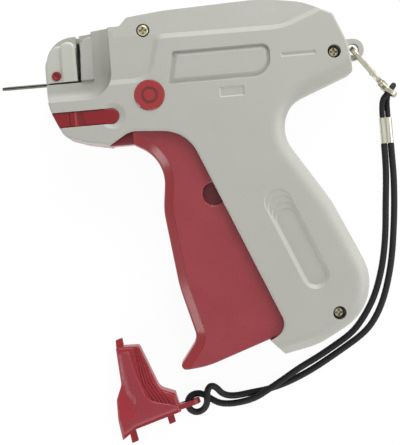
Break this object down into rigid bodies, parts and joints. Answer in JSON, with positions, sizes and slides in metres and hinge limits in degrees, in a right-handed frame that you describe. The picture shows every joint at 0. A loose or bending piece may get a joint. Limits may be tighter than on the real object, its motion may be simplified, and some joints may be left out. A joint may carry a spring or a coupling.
{
  "type": "garment tag attacher",
  "caption": "Hand tagging gun with a slotted needle, squeeze trigger, needle lock slide, and a needle cap on a cord clipped to an eyelet.",
  "frame": {"origin": "where the axis of the trigger's hinge pin meets the plane that the gun lies on", "axes": "+Z across the hand, from the resting side to the near side; +Y from the foot of the handle up to the top of the body; -X along the needle"},
  "size_m": [0.1703, 0.1854, 0.0284],
  "materials": {
    "left_housing": "fine spark-eroded grain, light grey ABS",
    "right_housing": "fine spark-eroded grain, light grey ABS",
    "front_guide_block": "grey acetal",
    "guide_block_pin": "moulded red plastic",
    "needle": "nickel plated",
    "needle_hub": "moulded red plastic",
    "needle_lock_slide": "moulded red plastic",
    "lock_detent_spring": "spring steel",
    "type_badge": "glossy printed disc",
    "housing_screws": "nickel plated",
    "trigger": "moulded red plastic",
    "trigger_pivot_pin": "drawn steel",
    "trigger_return_spring": "spring steel",
    "drive_lever": "natural acetal",
    "drive_lever_pin": "drawn steel",
    "slider": "natural acetal",
    "slider_pin": "drawn steel",
    "pusher_rod": "drawn steel",
    "rod_guide": "natural acetal",
    "feed_wheel": "natural acetal",
    "feed_wheel_shaft": "drawn steel",
    "feed_rocker": "natural acetal",
    "feed_pawl": "spring steel",
    "check_spring": "spring steel",
    "hook_body": "nickel plated",
    "hook_gate": "nickel plated",
    "gate_rivet": "nickel plated",
    "gate_spring": "spring steel",
    "swivel_eye": "nickel plated",
    "hook_loop_cord": "braided nylon cord",
    "ferrule": "nickel plated",
    "strap_cord": "braided nylon cord",
    "needle_cap": "moulded red plastic"
  },
  "bodies": {
    "gun": {"left_housing": "left_housing", "right_housing": "right_housing", "front_guide_block": "front_guide_block", "guide_block_pin": "guide_block_pin", "needle": "needle", "needle_hub": "needle_hub", "type_badge": "type_badge", "housing_screws": "housing_screws", "trigger_pivot_pin": "trigger_pivot_pin", "trigger_return_spring": "trigger_return_spring", "drive_lever_pin": "drive_lever_pin", "rod_guide": "rod_guide", "feed_wheel_shaft": "feed_wheel_shaft", "check_spring": "check_spring"},
    "trigger": {"trigger": "trigger"},
    "lever": {"drive_lever": "drive_lever"},
    "carriage": {"slider": "slider", "slider_pin": "slider_pin", "pusher_rod": "pusher_rod"},
    "rocker": {"feed_rocker": "feed_rocker", "feed_pawl": "feed_pawl"},
    "wheel": {"feed_wheel": "feed_wheel"},
    "lock": {"needle_lock_slide": "needle_lock_slide", "lock_detent_spring": "lock_detent_spring"},
    "strap": {"hook_body": "hook_body", "gate_rivet": "gate_rivet", "gate_spring": "gate_spring", "swivel_eye": "swivel_eye", "hook_loop_cord": "hook_loop_cord", "ferrule": "ferrule", "strap_cord": "strap_cord", "needle_cap": "needle_cap"},
    "gate": {"hook_gate": "hook_gate"}
  },
  "joints": [
    {"name": "trigger_squeeze", "type": "hinge", "parent": "gun", "child": "trigger", "pos_m": [0, 0, 0.014], "axis": [0, 0, -1], "range_deg": [0, 11.5], "stiffness_Nm_per_rad": 3, "springref_deg": -6.88, "deforming": ["trigger_return_spring"]},
    {"name": "lever_swing", "type": "hinge", "parent": "gun", "child": "lever", "pos_m": [-0.008, 0.06954, 0.014], "axis": [0, 0, 1], "range_deg": [0, 46.1]},
    {"name": "carriage_slide", "type": "slide", "parent": "gun", "child": "carriage", "axis": [-1, 0, 0], "range_m": [0, 0.03784]},
    {"name": "rocker_swing", "type": "hinge", "parent": "gun", "child": "rocker", "pos_m": [-0.0788, 0.1225, 0.016], "axis": [0, 0, 1], "range_deg": [0, 32.1], "deforming": ["feed_pawl"]},
    {"name": "wheel_turn", "type": "hinge", "parent": "gun", "child": "wheel", "pos_m": [-0.0788, 0.1225, 0.011], "axis": [0, 0, 1], "continuous": true, "deforming": ["check_spring"]},
    {"name": "lock_travel", "type": "slide", "parent": "gun", "child": "lock", "axis": [-1, 0, 0], "range_m": [0, 0.005]},
    {"name": "hook_swing", "type": "hinge", "parent": "gun", "child": "strap", "pos_m": [0.032, 0.12, 0.012], "axis": [0, 0, 1], "range_deg": [0, 40]},
    {"name": "gate_open", "type": "hinge", "parent": "strap", "child": "gate", "pos_m": [0.04072, 0.11017, 0.00378], "axis": [0.7986, 0.5826, 0.1511], "range_deg": [0, 24], "stiffness_Nm_per_rad": 0.05, "springref_deg": -11.46, "deforming": ["gate_spring"]}
  ],
  "couplings": [
    {"joint": "lever_swing", "follows": "trigger_squeeze", "ratio": 4},
    {"joint": "carriage_slide", "follows": "trigger_squeeze", "m_per_rad": 0.18804},
    {"joint": "rocker_swing", "follows": "trigger_squeeze", "ratio": 2.7826}
  ]
}
